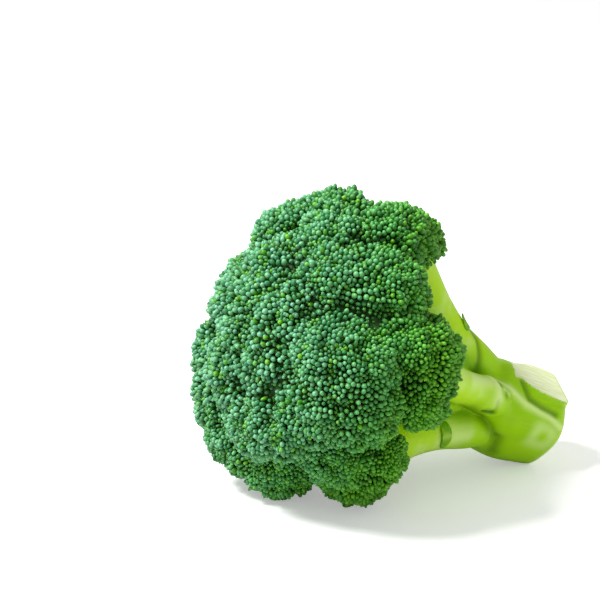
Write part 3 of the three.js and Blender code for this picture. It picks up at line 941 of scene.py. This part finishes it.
def bract_shape(branch_name, share, side, length, width, taper):
    """A scale that hugs a branch: rows along the branch's middle line, each an arc round the branch and back
    a leaf's thickness further in. It tapers from its foot to a blunt tip as powers of the way up, and it
    lifts off with the square."""
    root_radius, controls = branch_plan(branch_name)
    up = np.linspace(0.06, 0.97, BRACT_ROWS)
    speed = np.linalg.norm(np.diff(bezier(controls, [share - 0.01, share + 0.01]), axis=0)) / 0.02
    shares = share + (up - 0.5) * length / speed
    middle = bezier(controls, shares)
    along = unit(np.gradient(middle, axis=0))
    across = unit(np.cross(along, unit(along * [1, 1, 0])))
    outward = np.cross(across, along)
    turn = math.radians(side)
    outward, across = (outward * math.cos(turn) + np.cross(along, outward) * math.sin(turn),
                       across * math.cos(turn) + np.cross(along, across) * math.sin(turn))
    half = width / 2 * np.minimum(1, up / 0.25) ** 0.5 * (1 - up ** 2) ** taper
    over = np.linspace(-1, 1, BRACT_ACROSS)
    row = np.concatenate([over, over[::-1]])
    layer = np.concatenate([np.full(BRACT_ACROSS, BRACT_THICKNESS), np.zeros(BRACT_ACROSS)])
    radius = branch_radius(root_radius, shares)[:, None] * 0.98 + BRACT_LIFT * up[:, None] ** 2
    radius = radius + layer * np.sqrt(1 - 0.9 * row ** 2)
    angle = row * half[:, None] / root_radius
    skin = (middle[:, None] + outward[:, None] * (radius * np.cos(angle))[..., None]
            + across[:, None] * (radius * np.sin(angle))[..., None])
    ends = np.stack([skin[0].mean(axis=0), skin[-1].mean(axis=0) + along[-1] * 0.2])
    vein = np.concatenate([np.exp(-(np.tile(row, BRACT_ROWS) / VEIN_WIDTH) ** 2), [0, 0]])
    return np.concatenate([skin.reshape(-1, 3), ends]), grid_faces(BRACT_ROWS, len(row)), vein


def bract_material():
    """A mottled leaf green, paler along the vein."""
    material, nodes, links, skin = shader("bract skin", 0.45)
    colour = mix_colour(nodes, links, mottled(nodes, 350, 3.0, 0.3, 0.7), *BRACT_SHADE)
    colour = mix_colour(nodes, links, attribute_node(nodes, "vein"), colour, BRACT_VEIN)
    links.new(colour, skin.inputs["Base Color"])
    skin.inputs["Specular IOR Level"].default_value = 0.2
    return material


bract_skin = bract_material()
for name, row in BRACTS.items():
    bract_points, bract_faces, vein = bract_shape(*row)
    bract = new_piece(f"bract_{name}_scale", in_row(bract_points), bract_faces)
    set_values(bract, "vein", vein)
    bract.data.materials.append(bract_skin)
    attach(bract, "root")
    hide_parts(f"bract_{name}")

# ----------------------------------------------------------------------------------- table, light, camera
# A plain pale table under a soft lamp, in a bright even room. The lamp hangs above and to the left of the
# camera's line of sight, a little nearer to the camera than the head is. What is seen of the table directly
# glows faintly, so that it looks nearly white and still throws no light of its own up onto the head.

TABLE_SIZE = 6.0
TABLE_COLOUR = (0.8, 0.8, 0.8, 1)
TABLE_GLOW = 0.35
ROOM_LIGHT = 0.62
WHITE = (1, 1, 1, 1)


def flat_square(name, size):
    """A square of this size on the ground, round the origin."""
    corners = np.array([[-1, -1, 0], [1, -1, 0], [1, 1, 0], [-1, 1, 0]]) * size / 2
    return new_piece(name, corners, (np.array([[0, 1, 2, 3]]),), smooth=False)


table = flat_square("table", TABLE_SIZE)
table_finish, nodes, links, skin = shader("table top", 0.6)
skin.inputs["Base Color"].default_value = TABLE_COLOUR
skin.inputs["Emission Color"].default_value = WHITE
seen = nodes.new("ShaderNodeLightPath").outputs["Is Camera Ray"]
links.new(times(nodes, links, seen, TABLE_GLOW), skin.inputs["Emission Strength"])
table.data.materials.append(table_finish)

world = bpy.data.worlds.new("room")
world.use_nodes = True
world.node_tree.nodes["Background"].inputs["Color"].default_value = WHITE
world.node_tree.nodes["Background"].inputs["Strength"].default_value = ROOM_LIGHT
bpy.context.scene.world = world


def look(obj, place, target):
    """Puts a light at a place, facing a target: its -Z axis along the line of sight."""
    obj.location = Vector(place)
    obj.rotation_euler = (Vector(target) - Vector(place)).to_track_quat("-Z", "Y").to_euler()


def soft_light(name, place, target, size, power):
    """A round lamp of this width, in metres, and this power, in watts."""
    lamp = bpy.data.lights.new(name, "AREA")
    lamp.shape = "DISK"
    lamp.size = size
    lamp.energy = power
    obj = bpy.data.objects.new(name, lamp)
    bpy.context.scene.collection.objects.link(obj)
    look(obj, place, target)


VIEW_AZIMUTH = math.radians(-24)
VIEW_ELEVATION = math.radians(17)
VIEW_ROLL = math.radians(2)
VIEW_DISTANCE = 0.9
LENS = 125
SENSOR_WIDTH = 36
AIM = (-0.0129, 0.0211)  # metres to the right of the crown's middle and above it, as the camera sees it
LAMP_PLACE = (-0.6, 0.85, 0.45)  # metres to the right of the aim, above it and towards the camera
LAMP_SIZE = 0.4
LAMP_POWER = 25
back = np.array([math.sin(VIEW_AZIMUTH) * math.cos(VIEW_ELEVATION),
                 -math.cos(VIEW_AZIMUTH) * math.cos(VIEW_ELEVATION), math.sin(VIEW_ELEVATION)])
level_right = np.array([math.cos(VIEW_AZIMUTH), math.sin(VIEW_AZIMUTH), 0])
right = math.cos(VIEW_ROLL) * level_right + math.sin(VIEW_ROLL) * np.cross(back, level_right)
upward = np.cross(back, right)
crown_middle = in_row(np.array([[0.0, 0.0, CROWN_LEVEL]]))[0]
aim = crown_middle + AIM[0] * right + AIM[1] * upward

camera_data = bpy.data.cameras.new("camera")
camera_data.lens = LENS
camera_data.sensor_width = SENSOR_WIDTH
camera = bpy.data.objects.new("camera", camera_data)
bpy.context.scene.collection.objects.link(camera)
camera.location = aim + back * VIEW_DISTANCE
camera.rotation_euler = Matrix(np.stack([right, upward, back], axis=1)).to_euler()
bpy.context.scene.camera = camera

lamp_place = aim + LAMP_PLACE[0] * right + LAMP_PLACE[1] * upward + LAMP_PLACE[2] * back
soft_light("key light", lamp_place, aim, LAMP_SIZE, LAMP_POWER)
bpy.context.scene.view_settings.view_transform = "Standard"
